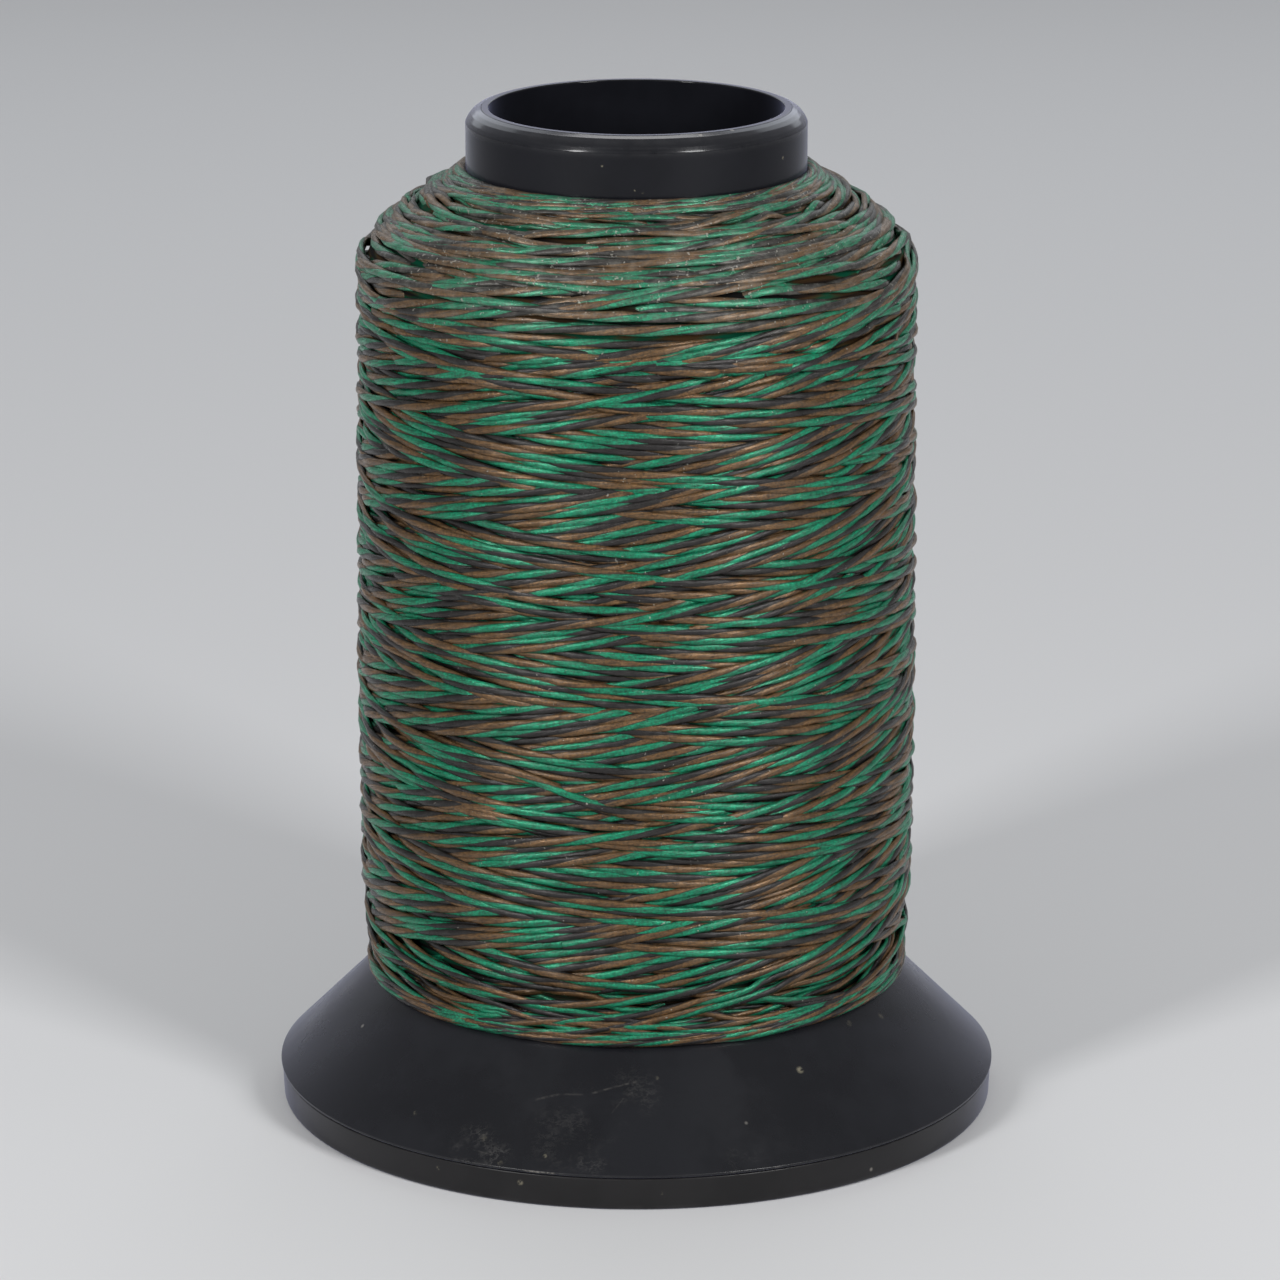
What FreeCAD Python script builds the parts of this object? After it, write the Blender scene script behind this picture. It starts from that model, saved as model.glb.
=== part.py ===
# A spool of waxed, twisted line: a straight barrel with a pressed-on collar and a conical foot flange,
# a base that clips on and slides down to free the line's end, and the package of line wound between them.
# Lengths are in millimetres. +Z runs up the spool's axis, and the origin is the middle of the face that
# the spool stands on.

import FreeCAD, Part
import math
import os

from FreeCAD import Vector

# Overall
height = 107.0
bore_d = 30.6

# Barrel
barrel_wall = 1.4
spigot_wall = 0.75
bead_proud = 0.5
bead_height = 1.0
bead_lift = 0.8
foot_edge = 0.3

# Collar
collar_step = 1.0
collar_length = 12.0
lip_round = 1.5
lip_facets = 3
lip_ledge = 0.1

# Foot flange
flange_overhang = 0.15
flange_land = 0.25
flange_slope = math.radians(45.0)
flange_wall = 1.8
sleeve_wall = 2.0
gusset_count = 8
gusset_wall = 1.2

# Snap base
base_d = 76.0
base_height = 3.45
base_taper = 0.15
base_edge = 0.4
rim_wall = 1.8
web_lift = 1.0
web_wall = 1.4
base_hole_margin = 0.3
finger_count = 4
finger_wall = 1.3
finger_slot = 1.6
hook_height = 2.0
hook_lead = 0.5
base_travel = 2.5

# Package of line
package_d = 59.2
shoulder_drop = 14.4
shoulder_slope = math.radians(40.0)
shoulder_round = 6.0

# Outer layer of line: one strand, up the package and down again over itself
strand_d = 0.8
strand_sides = 4
strand_turns_each_way = 4
strand_lift = 0.08
layer_gap = 0.42

# Clearances
press_gap = 0.02
seat_gap = 0.15
slide_gap = 0.05
bead_gap = 0.2
travel_margin = 0.3
headroom = 1.0
line_gap = 0.05
end_gap = 0.3

# Radii and levels that follow
bore_r = bore_d / 2
barrel_r = bore_r + barrel_wall
spigot_r = bore_r + spigot_wall
collar_r = barrel_r + collar_step
collar_z = height - collar_length
base_r = base_d / 2
rim_r = base_r + base_taper
flange_r = rim_r + flange_overhang
flange_z = base_height + seat_gap
sleeve_r = barrel_r + sleeve_wall
web_top = web_lift + web_wall
foot_z = web_top + seat_gap
bead_r = barrel_r + bead_proud
bead_z = foot_z + bead_lift
bead_top = bead_z + bead_height
hub_r = bead_r + bead_gap
hook_r = barrel_r + slide_gap
hook_z = bead_top + base_travel + travel_margin
hub_top = hook_z + hook_height
sleeve_z = hub_top + headroom
package_r = package_d / 2
shoulder_z = height - shoulder_drop


def turned(corners):
    """The solid that a closed outline of (radius, height) corners sweeps round the spool's axis."""
    points = [Vector(radius, 0, z) for radius, z in corners]
    outline = Part.makePolygon(points + points[:1])
    return Part.Face(outline).revolve(Vector(0, 0, 0), Vector(0, 0, 1), 360)


def domed(radius, z, rounding, facets):
    """Outline corners that turn from a wall at a radius, up and inward to a flat top, in a quarter circle."""
    corners = []
    for i in range(facets + 1):
        swing = math.pi / 2 * i / facets
        corners.append((radius - rounding + rounding * math.cos(swing), z + rounding * math.sin(swing)))
    return corners


def around(shape, count):
    """Copies of a shape, evenly spaced round the axis."""
    copies = []
    for i in range(count):
        copy = shape.copy()
        copy.rotate(Vector(0, 0, 0), Vector(0, 0, 1), 360 * i / count)
        copies.append(copy)
    return copies


def flange_top_z(radius):
    """Height of the flange's outer slope at a radius."""
    return flange_z + flange_land + (flange_r - radius) * math.tan(flange_slope)


def flange_under_z(radius):
    """Height of the flange's inner slope at a radius."""
    return flange_top_z(radius) - flange_wall / math.cos(flange_slope)


def shoulder_corner_z(inset):
    """Height of the package's shoulder corner, on an outline drawn in by an inset all round."""
    return shoulder_z - inset * (1 - math.sin(shoulder_slope)) / math.cos(shoulder_slope)


def shoulder_line_z(radius, inset):
    """Height of the package's shoulder at a radius, on an outline drawn in by an inset."""
    run = package_r - inset - radius
    return shoulder_corner_z(inset) + run * math.tan(shoulder_slope)


def barrel():
    """Straight tube: a spigot at its top carries the collar, a bead at its foot holds the base on."""
    return turned([
        (bore_r, foot_z),
        (barrel_r - foot_edge, foot_z),
        (barrel_r, foot_z + foot_edge),
        (barrel_r, bead_z),
        (bead_r, bead_z + bead_proud),
        (bead_r, bead_top),
        (barrel_r, bead_top),
        (barrel_r, collar_z),
        (spigot_r, collar_z),
        (spigot_r, height),
        (bore_r, height),
    ])


def top_collar():
    """Ring on the barrel's spigot, with a domed lip that ends in a fine ledge."""
    inner_r = spigot_r + press_gap
    seat_z = collar_z + press_gap
    ledge_z = height - lip_round
    return turned([
        (inner_r, seat_z),
        (collar_r, seat_z),
        (collar_r, ledge_z),
        *domed(collar_r - lip_ledge, ledge_z, lip_round, lip_facets),
        (inner_r, height),
    ])


def cone_flange():
    """Conical skirt on a sleeve round the barrel, stiffened underneath by radial gussets."""
    inner_r = barrel_r + press_gap
    under_r = flange_r + (flange_land - flange_wall / math.cos(flange_slope)) / math.tan(flange_slope)
    skirt = turned([
        (inner_r, sleeve_z),
        (sleeve_r, sleeve_z),
        (sleeve_r, flange_under_z(sleeve_r)),
        (under_r, flange_z),
        (flange_r, flange_z),
        (flange_r, flange_z + flange_land),
        (inner_r, flange_top_z(inner_r)),
    ])
    # A gusset reaches from inside the sleeve's wall to the middle of the skirt's wall.
    root_r = sleeve_r - sleeve_wall / 2
    buried = flange_wall / math.cos(flange_slope) / 2
    toe_r = sleeve_r + (flange_under_z(sleeve_r) - sleeve_z) / math.tan(flange_slope)
    web = Part.makePolygon([
        Vector(root_r, -gusset_wall / 2, sleeve_z),
        Vector(toe_r + buried / math.tan(flange_slope), -gusset_wall / 2, sleeve_z),
        Vector(root_r, -gusset_wall / 2, flange_under_z(root_r) + buried),
        Vector(root_r, -gusset_wall / 2, sleeve_z),
    ])
    gusset = Part.Face(web).extrude(Vector(0, gusset_wall, 0))
    return skirt.fuse(around(gusset, gusset_count)).removeSplitter()


def snap_base():
    """Shallow cup that closes the flange from below and clips over the barrel's bead."""
    hole_r = bore_r + base_hole_margin
    finger_r = hub_r + finger_wall
    cup = turned([
        (hole_r, web_lift),
        (base_r - rim_wall, web_lift),
        (base_r - rim_wall, 0),
        (base_r - base_edge, 0),
        (base_r, base_edge),
        (rim_r, base_height),
        (rim_r - rim_wall, base_height),
        (rim_r - rim_wall, web_top),
        (finger_r, web_top),
        (finger_r, hub_top),
        (hook_r + hook_lead, hub_top),
        (hook_r, hub_top - hook_lead),
        (hook_r, hook_z),
        (hub_r, hook_z),
        (hub_r, web_top),
        (hole_r, web_top),
    ])
    slot = Part.makeBox(
        finger_wall * 3, finger_slot, hub_top, Vector(barrel_r, -finger_slot / 2, web_top)
    )
    return cup.cut(around(slot, finger_count))


def package_core(inset):
    """The wound package as one solid, drawn in by an inset where the outer layer lies."""
    core_r = package_r - inset
    inner_r = barrel_r + line_gap
    collar_side = collar_r + line_gap
    slope_gap = line_gap / math.cos(flange_slope)
    # A flat takes the shoulder's corner off between the ends of its rounding.
    corner_z = shoulder_corner_z(inset)
    flat = (shoulder_round - inset) * math.tan((math.pi / 2 - shoulder_slope) / 2)
    return turned([
        (inner_r, flange_top_z(inner_r) + slope_gap),
        (core_r, flange_top_z(core_r) + slope_gap),
        (core_r, corner_z - flat),
        (core_r - flat * math.cos(shoulder_slope), corner_z + flat * math.sin(shoulder_slope)),
        (collar_side, shoulder_line_z(collar_side, inset)),
        (collar_side, collar_z - line_gap),
        (inner_r, collar_z - line_gap),
    ])


class LayerPath:
    """Centre line of the strand: up the package on its lower layer, and down again on its upper one."""

    def __init__(self):
        self.upper = strand_d / 2
        self.lower = self.upper + strand_d + layer_gap
        lay_r = package_r - self.upper
        self.foot_z = flange_top_z(lay_r) + (strand_d / 2 + end_gap) / math.cos(flange_slope)
        self.turn = math.pi / 2 - shoulder_slope
        tangent = shoulder_round * math.tan(self.turn / 2)
        self.straight = shoulder_z - tangent - self.foot_z
        self.arc = shoulder_round * self.turn
        top_r = collar_r + strand_d / 2 + end_gap + self.lower
        self.slant = (package_r - tangent * math.cos(shoulder_slope) - top_r) / math.cos(shoulder_slope)
        self.length = self.straight + self.arc + self.slant
        self.turns = 2 * strand_turns_each_way

    def outline_point(self, along, inset):
        """Radius and height at a distance up the package's outline, drawn in by an inset."""
        bend_r = package_r - shoulder_round
        bend_z = self.foot_z + self.straight
        if along < self.straight:
            # The foot of each layer keeps the same clearance from the flange's slope.
            foot_z = self.foot_z + (inset - self.upper) * math.tan(flange_slope)
            return package_r - inset, foot_z + (bend_z - foot_z) * along / self.straight
        swing = min(along - self.straight, self.arc) / shoulder_round
        reach = shoulder_round - inset
        past = max(along - self.straight - self.arc, 0)
        radius = bend_r + reach * math.cos(swing) - past * math.cos(shoulder_slope)
        return radius, bend_z + reach * math.sin(swing) + past * math.sin(shoulder_slope)

    def point(self, turn):
        """A point on the centre line, a number of turns from its lower start."""
        off = turn - strand_turns_each_way
        soft = 0.25
        bent = abs(off) if abs(off) > soft else (off * off / soft + soft) / 2
        along = self.length * (1 - (bent - soft / 2) / (strand_turns_each_way - soft / 2))
        climb = (1 + math.sin(math.pi * max(-soft, min(soft, off)) / (2 * soft))) / 2
        inset = self.lower + (self.upper - self.lower) * climb
        radius, z = self.outline_point(along, inset)
        angle = 2 * math.pi * turn
        return Vector(radius * math.cos(angle), radius * math.sin(angle), z)

    def direction(self, turn):
        """The centre line's direction at a number of turns."""
        step = 1e-4
        return (self.point(turn + step) - self.point(turn - step)).normalize()


def arc_from(start, direction, end):
    """The arc that leaves a start point in a direction and ends at another point."""
    chord = end - start
    side = chord - direction * chord.dot(direction)
    side.normalize()
    radius = chord.dot(chord) / (2 * chord.dot(side))
    centre = start + side * radius
    middle = centre + ((start + end) * 0.5 - centre).normalize() * radius
    return Part.Arc(start, middle, end).toShape(), radius


def biarc(start, leaving, end, arriving):
    """Two arcs, tangent where they join, between two points with given directions."""
    chord = end - start
    both = leaving + arriving
    spread = 2 * (1 - leaving.dot(arriving))
    along = chord.dot(both)
    reach = (math.sqrt(along * along + spread * chord.dot(chord)) - along) / spread
    knee = start + leaving * reach
    elbow = end - arriving * reach
    join = (knee + elbow) * 0.5
    return [arc_from(start, leaving, join), arc_from(join, (elbow - knee).normalize(), end)]


def least_gap(path):
    """The least clear space between the strand and its own other turns, measured a degree apart."""
    per_turn = 360
    points = [path.point(i / per_turn) for i in range(path.turns * per_turn + 1)]
    nearest = min(
        (points[i] - points[j]).Length
        for i in range(len(points))
        for turn in range(per_turn, len(points) - i, per_turn)
        for j in range(i + turn - 3, min(i + turn + 4, len(points)))
    )
    return nearest - strand_d


def strand_layer():
    """The outer layer: one unbroken strand, a tube along biarcs with short straight ends."""
    path = LayerPath()
    quarter = 0.25
    edges = []
    radii = []
    for i in range(round(path.turns / quarter)):
        a = i * quarter
        b = a + quarter
        for edge, radius in biarc(path.point(a), path.direction(a), path.point(b), path.direction(b)):
            edges.append(edge)
            radii.append(radius)
    first = path.point(0)
    start = first - path.direction(0) * strand_d
    last = path.point(path.turns)
    finish = last + path.direction(path.turns) * strand_d
    edges.insert(0, Part.LineSegment(start, first).toShape())
    edges.append(Part.LineSegment(last, finish).toShape())
    spine = Part.Wire(edges)
    out = Vector(first.x, first.y, 0).normalize()
    up = path.direction(0).cross(out)
    corners = []
    for i in range(strand_sides + 1):
        angle = 2 * math.pi * i / strand_sides
        corners.append(start + (out * math.cos(angle) + up * math.sin(angle)) * (strand_d / 2))
    section = Part.makePolygon(corners)
    shell = Part.BRepOffsetAPI.MakePipeShell(spine)
    shell.add(section)
    shell.build()
    shell.makeSolid()
    strand = shell.shape()
    expected = Part.Face(section).Area * spine.Length
    print(f"strand: {spine.Length / 1000:.2f} m, tightest arc {min(radii):.1f} mm, "
          f"volume {strand.Volume:.0f} of {expected:.0f} mm3, least gap {least_gap(path):.2f} mm")
    return strand


def main():
    layers = 2 * strand_d + layer_gap + strand_lift
    pieces = {
        "barrel": barrel(),
        "top_collar": top_collar(),
        "cone_flange": cone_flange(),
        "snap_base": snap_base(),
        "line_core": package_core(layers),
        "line_layer": strand_layer(),
    }
    os.makedirs("parts", exist_ok=True)
    for name, shape in pieces.items():
        print(f"{name}: {len(shape.Solids)} solid, {shape.Volume:.0f} mm3, valid {shape.isValid()}")
        shape.exportStep(f"parts/{name}.step")
    print(f"bore: radius {bore_r:.2f}, from z {foot_z:.2f} to {height:.2f} mm")


main()
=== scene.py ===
import math

import bpy
import numpy as np
from bpy.props import FloatProperty, FloatVectorProperty, IntProperty, PointerProperty
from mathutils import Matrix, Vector


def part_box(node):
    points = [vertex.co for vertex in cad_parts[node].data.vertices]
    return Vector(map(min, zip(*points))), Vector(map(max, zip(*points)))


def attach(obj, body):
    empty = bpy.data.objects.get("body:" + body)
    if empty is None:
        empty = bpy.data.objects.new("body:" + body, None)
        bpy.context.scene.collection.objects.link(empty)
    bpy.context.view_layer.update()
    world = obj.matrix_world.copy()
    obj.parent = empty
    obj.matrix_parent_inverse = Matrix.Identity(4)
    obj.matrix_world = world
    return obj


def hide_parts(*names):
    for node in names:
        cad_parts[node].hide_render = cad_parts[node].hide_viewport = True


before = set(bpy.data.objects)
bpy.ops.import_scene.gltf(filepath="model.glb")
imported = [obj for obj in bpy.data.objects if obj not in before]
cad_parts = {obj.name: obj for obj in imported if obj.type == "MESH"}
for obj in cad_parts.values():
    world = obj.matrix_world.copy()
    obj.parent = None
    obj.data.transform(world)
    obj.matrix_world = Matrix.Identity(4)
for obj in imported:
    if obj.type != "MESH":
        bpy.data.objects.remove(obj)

bl_info = {
    "name": "Line spool",
    "version": (1, 0, 0),
    "blender": (4, 5, 0),
    "location": "View3D > Sidebar > Line Spool",
    "description": "Dresses the CAD frame of a cone-footed spool wound with three-ply waxed line",
    "category": "Object",
}

MM = 0.001
TURN = 2 * math.pi
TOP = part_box("top_collar")[1].z


# Sizes and colours


def length(name, default, description):
    return FloatProperty(
        name=name, description=description, default=default, min=0.0, unit="LENGTH", precision=5
    )


def factor(name, default, description, low, high):
    return FloatProperty(
        name=name, description=description, default=default, min=low, max=high, subtype="FACTOR"
    )


def colour(name, default, description):
    return FloatVectorProperty(
        name=name, description=description, default=default, min=0.0, max=1.0, size=3, subtype="COLOR"
    )


class MouldingSizes(bpy.types.PropertyGroup):
    height: length("Height", TOP, "Overall height of the spool")
    bore: length("Bore radius", 15.3 * MM, "Radius of the barrel's bore")
    barrel: length("Barrel radius", 16.7 * MM, "Outer radius of the barrel")
    spigot: length("Spigot radius", 16.05 * MM, "Outer radius of the spigot that carries the collar")
    collar: length("Collar radius", 17.7 * MM, "Outer radius of the collar")
    collar_foot: length("Collar foot", 95.0 * MM, "Height at which the collar sits on the barrel")
    lip: length("Lip rounding", 1.5 * MM, "Rounding of the collar's lip")
    flange: length("Flange radius", 38.3 * MM, "Outer radius of the conical flange")
    flange_foot: length("Flange foot", 3.6 * MM, "Height of the flange's lower edge")
    flange_wall: length("Flange wall", 1.8 * MM, "Thickness of the conical flange")
    base: length("Base radius", 38.0 * MM, "Radius of the base where it meets the ground")
    base_height: length("Base height", 3.45 * MM, "Height of the base's rim")
    edge: length("Edge rounding", 0.14 * MM, "Softening of the moulded edges")


class LineSizes(bpy.types.PropertyGroup):
    strand: length("Strand diameter", 0.9 * MM, "Thickness of the twisted line")
    pitch: length("Twist length", 16.0 * MM, "Length of line in one full turn of its three plies")
    rise: length("Rise per turn", 22.8 * MM, "Climb of the line in one turn on the package's side")
    shoulder_rise: length("Rise on shoulder", 10.0 * MM, "Climb of the line in one turn on the shoulder")
    package: length("Package radius", 29.2 * MM, "Outer radius of the wound package")
    depth: length("Lay depth", 2.45 * MM, "Depth of the outer lay that is modelled turn by turn")
    swell: length("Swell", 0.35 * MM, "How much fuller the package's lower third is than its shoulder")
    foot_round: length("Foot rounding", 0.75 * MM, "How far the package draws in where it meets the flange")
    flatness: factor("Flatness", 0.3, "How far the strand is pressed into a ribbon", 0.0, 0.6)
    press: length("Press", 0.27 * MM, "How far a turn sinks into the one that it crosses")
    evenness: factor("Evenness", 1.0, "How far the high and low places of the lay are levelled", 0.0, 1.0)
    strokes: IntProperty(
        name="Strokes", description="Up and down strokes in the outer lay", default=35, min=4, max=60
    )
    seed: IntProperty(
        name="Seed", description="Seed of the winding's small irregularities", default=7, min=0
    )


class Finishes(bpy.types.PropertyGroup):
    green: colour("Green ply", (0.003, 0.175, 0.088), "Colour of the green ply")
    brown: colour("Brown ply", (0.113, 0.06, 0.0235), "Colour of the brown ply")
    dark: colour("Dark ply", (0.0135, 0.0115, 0.0122), "Colour of the dark grey ply")
    dark_share: factor("Dark share", 0.29, "Part of the girth that the dark ply takes up", 0.05, 0.6)
    wax: colour("Wax", (0.5, 0.48, 0.42), "Colour of the wax crumbs on the line")
    black: colour("Black plastic", (0.0065, 0.0068, 0.0088), "Colour of the barrel, collar and flange")
    base_black: colour("Base plastic", (0.0105, 0.01, 0.0103), "Colour of the clip-on base")
    dust: colour("Dust", (0.3, 0.28, 0.25), "Colour of dust and scuffs")
    worn: colour("Worn edges", (0.09, 0.088, 0.09), "Colour of edges that handling has rubbed")
    dirt: colour("Dirt", (0.34, 0.31, 0.22), "Colour of the crumbs of dirt on the plastic")
    floor: colour("Floor", (0.72, 0.72, 0.73), "Colour of the floor")


def sizes():
    return bpy.context.scene.moulding_sizes


def line_sizes():
    return bpy.context.scene.line_sizes


def finishes():
    return bpy.context.scene.spool_finishes


# Nodes


class Value:
    """One output of a node. Arithmetic on it adds Math nodes, and a key picks another output."""

    def __init__(self, node, output=0):
        self.node = node
        self.socket = node.outputs[output]

    def __getitem__(self, output):
        return Value(self.node, output)

    def __add__(self, other):
        return maths("ADD", self, other)

    def __sub__(self, other):
        return maths("SUBTRACT", self, other)

    def __rsub__(self, other):
        return maths("SUBTRACT", other, self)

    def __mul__(self, other):
        return maths("MULTIPLY", self, other)

    def __truediv__(self, other):
        return maths("DIVIDE", self, other)


def fill(node, inputs):
    """Links each input of a node to a value, or gives it a constant."""
    for key, value in inputs.items():
        if isinstance(value, Value):
            node.id_data.links.new(value.socket, node.inputs[key])
        else:
            node.inputs[key].default_value = value


def add(tree, kind, inputs=None, output=0, **settings):
    """One output of a new node, with its settings made and its inputs filled."""
    made = tree.nodes.new(kind)
    for key, value in settings.items():
        setattr(made, key, value)
    fill(made, inputs or {})
    return Value(made, output)


def home(*values):
    """The node tree that the values among these belong to."""
    return next(value.node.id_data for value in values if isinstance(value, Value))


def maths(operation, a, b=0.0, c=0.0):
    return add(home(a, b), "ShaderNodeMath", {0: a, 1: b, 2: c}, operation=operation)


def vectors(operation, a, b=None):
    """The result of a Vector Math node: a number for a product, length or distance, or else a vector."""
    inputs = {0: a} if b is None else {0: a, "Scale" if operation == "SCALE" else 1: b}
    output = "Value" if operation in ("DOT_PRODUCT", "LENGTH", "DISTANCE") else "Vector"
    return add(home(a), "ShaderNodeVectorMath", inputs, output, operation=operation)


def vector(x=0.0, y=0.0, z=0.0):
    return add(home(x, y, z), "ShaderNodeCombineXYZ", {0: x, 1: y, 2: z})


def height_of(place):
    return add(home(place), "ShaderNodeSeparateXYZ", {0: place}, 2)


def ramp(value, low, high, out_low=0.0, out_high=1.0):
    """A value eased from one range to another and held at its ends."""
    inputs = {"Value": value, "From Min": low, "From Max": high, "To Min": out_low, "To Max": out_high}
    return add(home(value), "ShaderNodeMapRange", inputs, interpolation_type="SMOOTHSTEP")


def mixed(share, a, b, blend="MIX"):
    """A mix of two colours."""
    a, b = (v if isinstance(v, Value) else (*v, 1.0) for v in (a, b))
    inputs = {0: share, 6: a, 7: b}
    return add(home(share, a, b), "ShaderNodeMix", inputs, 2, data_type="RGBA", blend_type=blend)


def shaded(tint, share):
    return [share * v for v in tint]


def noise(place, scale, detail=2.0, roughness=0.5):
    inputs = {"Vector": place, "Scale": scale, "Detail": detail, "Roughness": roughness}
    return add(home(place), "ShaderNodeTexNoise", inputs, "Fac")


def bumped(height, strength, distance):
    inputs = {"Height": height, "Strength": strength, "Distance": distance}
    return add(home(height), "ShaderNodeBump", inputs)


# What each named socket of a node tree carries, where that isn't a plain number.
CARRIES = {
    "Vector": "Vector", "Around": "Vector", "Start": "Vector", "End": "Vector", "Color": "Color",
    "First": "Color", "Second": "Color", "Third": "Color", "Count": "Int", "Corners Per Ply": "Int",
    "Material": "Material", "Geometry": "Geometry",
}


def node_tree(name, kind, inputs, outputs):
    """The inputs, as a value, and the output node of a new shader or geometry tree."""
    tree = bpy.data.node_groups.new(name, kind + "NodeTree")
    for way, labels in (("INPUT", inputs), ("OUTPUT", outputs)):
        for label in labels:
            socket_type = "NodeSocket" + CARRIES.get(label, "Float")
            tree.interface.new_socket(label, in_out=way, socket_type=socket_type)
    return Value(tree.nodes.new("NodeGroupInput")), tree.nodes.new("NodeGroupOutput")


def grain_group():
    """Fine moulded grain, with broad cloudy patches where the plastic is a little duller."""
    given, result = node_tree("moulded_grain", "Shader", ("Vector", "Grain Size"), ("Cloud", "Height"))
    fill(result, {
        "Cloud": ramp(noise(given["Vector"], 95.0, 4.0, 0.6), 0.36, 0.66),
        "Height": noise(given["Vector"], given["Grain Size"], 1.0),
    })


def dust_group():
    """Specks of dust, and rubbed patches of fine scratches. Amount sets how many specks there are."""
    given, result = node_tree("dust", "Shader", ("Vector", "Amount", "Patch"), ("Specks", "Rub"))
    place, tree = given["Vector"], result.id_data
    cells = add(tree, "ShaderNodeTexVoronoi", {"Vector": place, "Scale": 620.0, "Randomness": 1.0})
    chance = add(tree, "ShaderNodeSeparateColor", {"Color": cells["Color"]})
    rare = maths("GREATER_THAN", chance, 1.0 - given["Amount"] * 0.1)
    # A rub is a web of fine lines, where the noise crosses its middle value.
    level = noise(vectors("MULTIPLY", place, (0.6, 1.0, 1.0)), 1150.0, 4.0, 0.7)
    web = ramp(maths("ABSOLUTE", level - 0.5), 0.0, 0.045, 1.0, 0.0)
    haze = ramp(noise(place, 1400.0, 2.0, 0.6), 0.45, 0.7, 0.0, 0.35)
    broad = ramp(noise(place, 300.0, 3.0, 0.6), 0.42, 0.62)
    fill(result, {
        "Specks": rare * ramp(cells["Distance"], 0.05, 0.2, 1.0, 0.0),
        "Rub": (web + haze) * broad * given["Patch"],
    })


def scratch_group():
    """A thin line from one point to another, broken, and fading towards its ends."""
    given, result = node_tree("scratch", "Shader", ("Vector", "Start", "End", "Width"), ("Mask",))
    run = vectors("SUBTRACT", given["End"], given["Start"])
    away = vectors("SUBTRACT", given["Vector"], given["Start"])
    share = vectors("DOT_PRODUCT", away, run) / vectors("DOT_PRODUCT", run, run)
    share = maths("MAXIMUM", maths("MINIMUM", share, 1.0), 0.0)
    gap = vectors("LENGTH", vectors("SUBTRACT", away, vectors("SCALE", run, share))) / given["Width"]
    fade = ramp(share * (1.0 - share) * 4.0, 0.0, 0.5)
    broken = ramp(noise(given["Vector"], 1800.0, 3.0, 0.7), 0.38, 0.6, 0.15, 1.0)
    fill(result, {"Mask": ramp(gap, 0.15, 0.6, 1.0, 0.0) * (fade * broken)})


def wear_group():
    """Paler, smoother edges where the moulding has been handled, from the mesh's own edge attribute."""
    given, result = node_tree("edge_wear", "Shader", ("Vector", "Edge", "Amount"), ("Mask",))
    broken = ramp(noise(given["Vector"], 420.0, 4.0, 0.65), 0.38, 0.62)
    fill(result, {"Mask": given["Edge"] * broken * given["Amount"]})


def wax_group():
    """Wax on the line: small pale crumbs, and a cloudy bloom that is partly wax and partly painted light on
    the shoulder, both thicker from one height to another.
    """
    given, result = node_tree("wax", "Shader", ("Vector", "Low", "High"), ("Crumbs", "Bloom And Shoulder Light"))
    place = given["Vector"]
    higher = ramp(height_of(place), given["Low"], given["High"])
    level = noise(place, 260.0, 2.0, 0.6) * 0.35 + higher * 0.085
    cloud = ramp(noise(place, 700.0, 3.0, 0.65), 0.4, 0.75, 0.3, 1.0)
    fill(result, {
        "Crumbs": ramp(noise(place, 2600.0, 1.0, 0.5) + level, 0.935, 0.99),
        # The bloom is a paler colour, stronger higher up: partly wax, and partly painted light on the
        # upward-facing shoulder.
        "Bloom And Shoulder Light": cloud * ramp(higher, 0.0, 1.0, 0.045, 0.21),
    })


def ply_group():
    """Colour of a three-ply strand: which ply shows, its filaments, and painted shade in the grooves."""
    inputs = ("Vector", "Around", "Along", "First", "Second", "Third")
    given, result = node_tree("three_ply", "Shader", inputs, ("Color", "Height"))
    tree = result.id_data
    around = add(tree, "ShaderNodeSeparateXYZ", {0: given["Around"]})
    part = maths("FRACT", maths("ARCTAN2", around[1], around[0]) / TURN) * 3.0
    ply, across = maths("FLOOR", part), maths("FRACT", part)
    base = mixed(maths("COMPARE", ply, 1.0, 0.1), given["First"], given["Second"])
    base = mixed(maths("COMPARE", ply, 2.0, 0.1), base, given["Third"])
    # Filaments run along the ply, so the noise is long that way and fine across it.
    filament = noise(vector(given["Along"] * 420.0, part * 5.0, ply), 1.0, 4.0, 0.7)
    crackle = noise(given["Vector"], 3800.0, 4.0, 0.8)
    drift = noise(vector(given["Along"] * 45.0, ply), 1.0)
    bright = ramp(filament, 0.3, 0.72, 0.44, 1.56) + ramp(drift, 0.3, 0.7, -0.14, 0.14)
    # Painted shade: the colour darkens towards the grooves between the plies; the same mask deepens the
    # grooves in the bump.
    groove_depth_and_shade = ramp(across * (1.0 - across) * 4.0, 0.0, 0.42, 0.3, 1.0)
    shade = bright * ramp(crackle, 0.36, 0.64, 0.5, 1.46) * groove_depth_and_shade
    grey = add(tree, "ShaderNodeCombineColor", {0: shade, 1: shade, 2: shade})
    fill(result, {
        "Color": mixed(1.0, base, grey, "MULTIPLY"),
        "Height": filament * 0.9 + crackle * 0.35 + groove_depth_and_shade * 0.5,
    })


def dressed(result, shape, finish):
    """Ends a geometry tree: its copies are made real and given their material."""
    tree = result.id_data
    real = add(tree, "GeometryNodeRealizeInstances", {"Geometry": shape})
    fill(result, {"Geometry": add(tree, "GeometryNodeSetMaterial", {"Geometry": real, "Material": finish})})


def around_axis_tree():
    """Copies of a shape, evenly spaced round the spool's axis."""
    inputs = ("Geometry", "Count", "Material")
    given, result = node_tree("around_axis", "Geometry", inputs, ("Geometry",))
    tree = result.id_data
    turn = add(tree, "GeometryNodeInputIndex") * TURN / given["Count"]
    copies = add(tree, "GeometryNodeInstanceOnPoints", {
        "Points": add(tree, "GeometryNodePoints", {"Count": given["Count"]}),
        "Instance": given["Geometry"], "Rotation": vector(z=turn),
    })
    dressed(result, copies, given["Material"])


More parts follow.
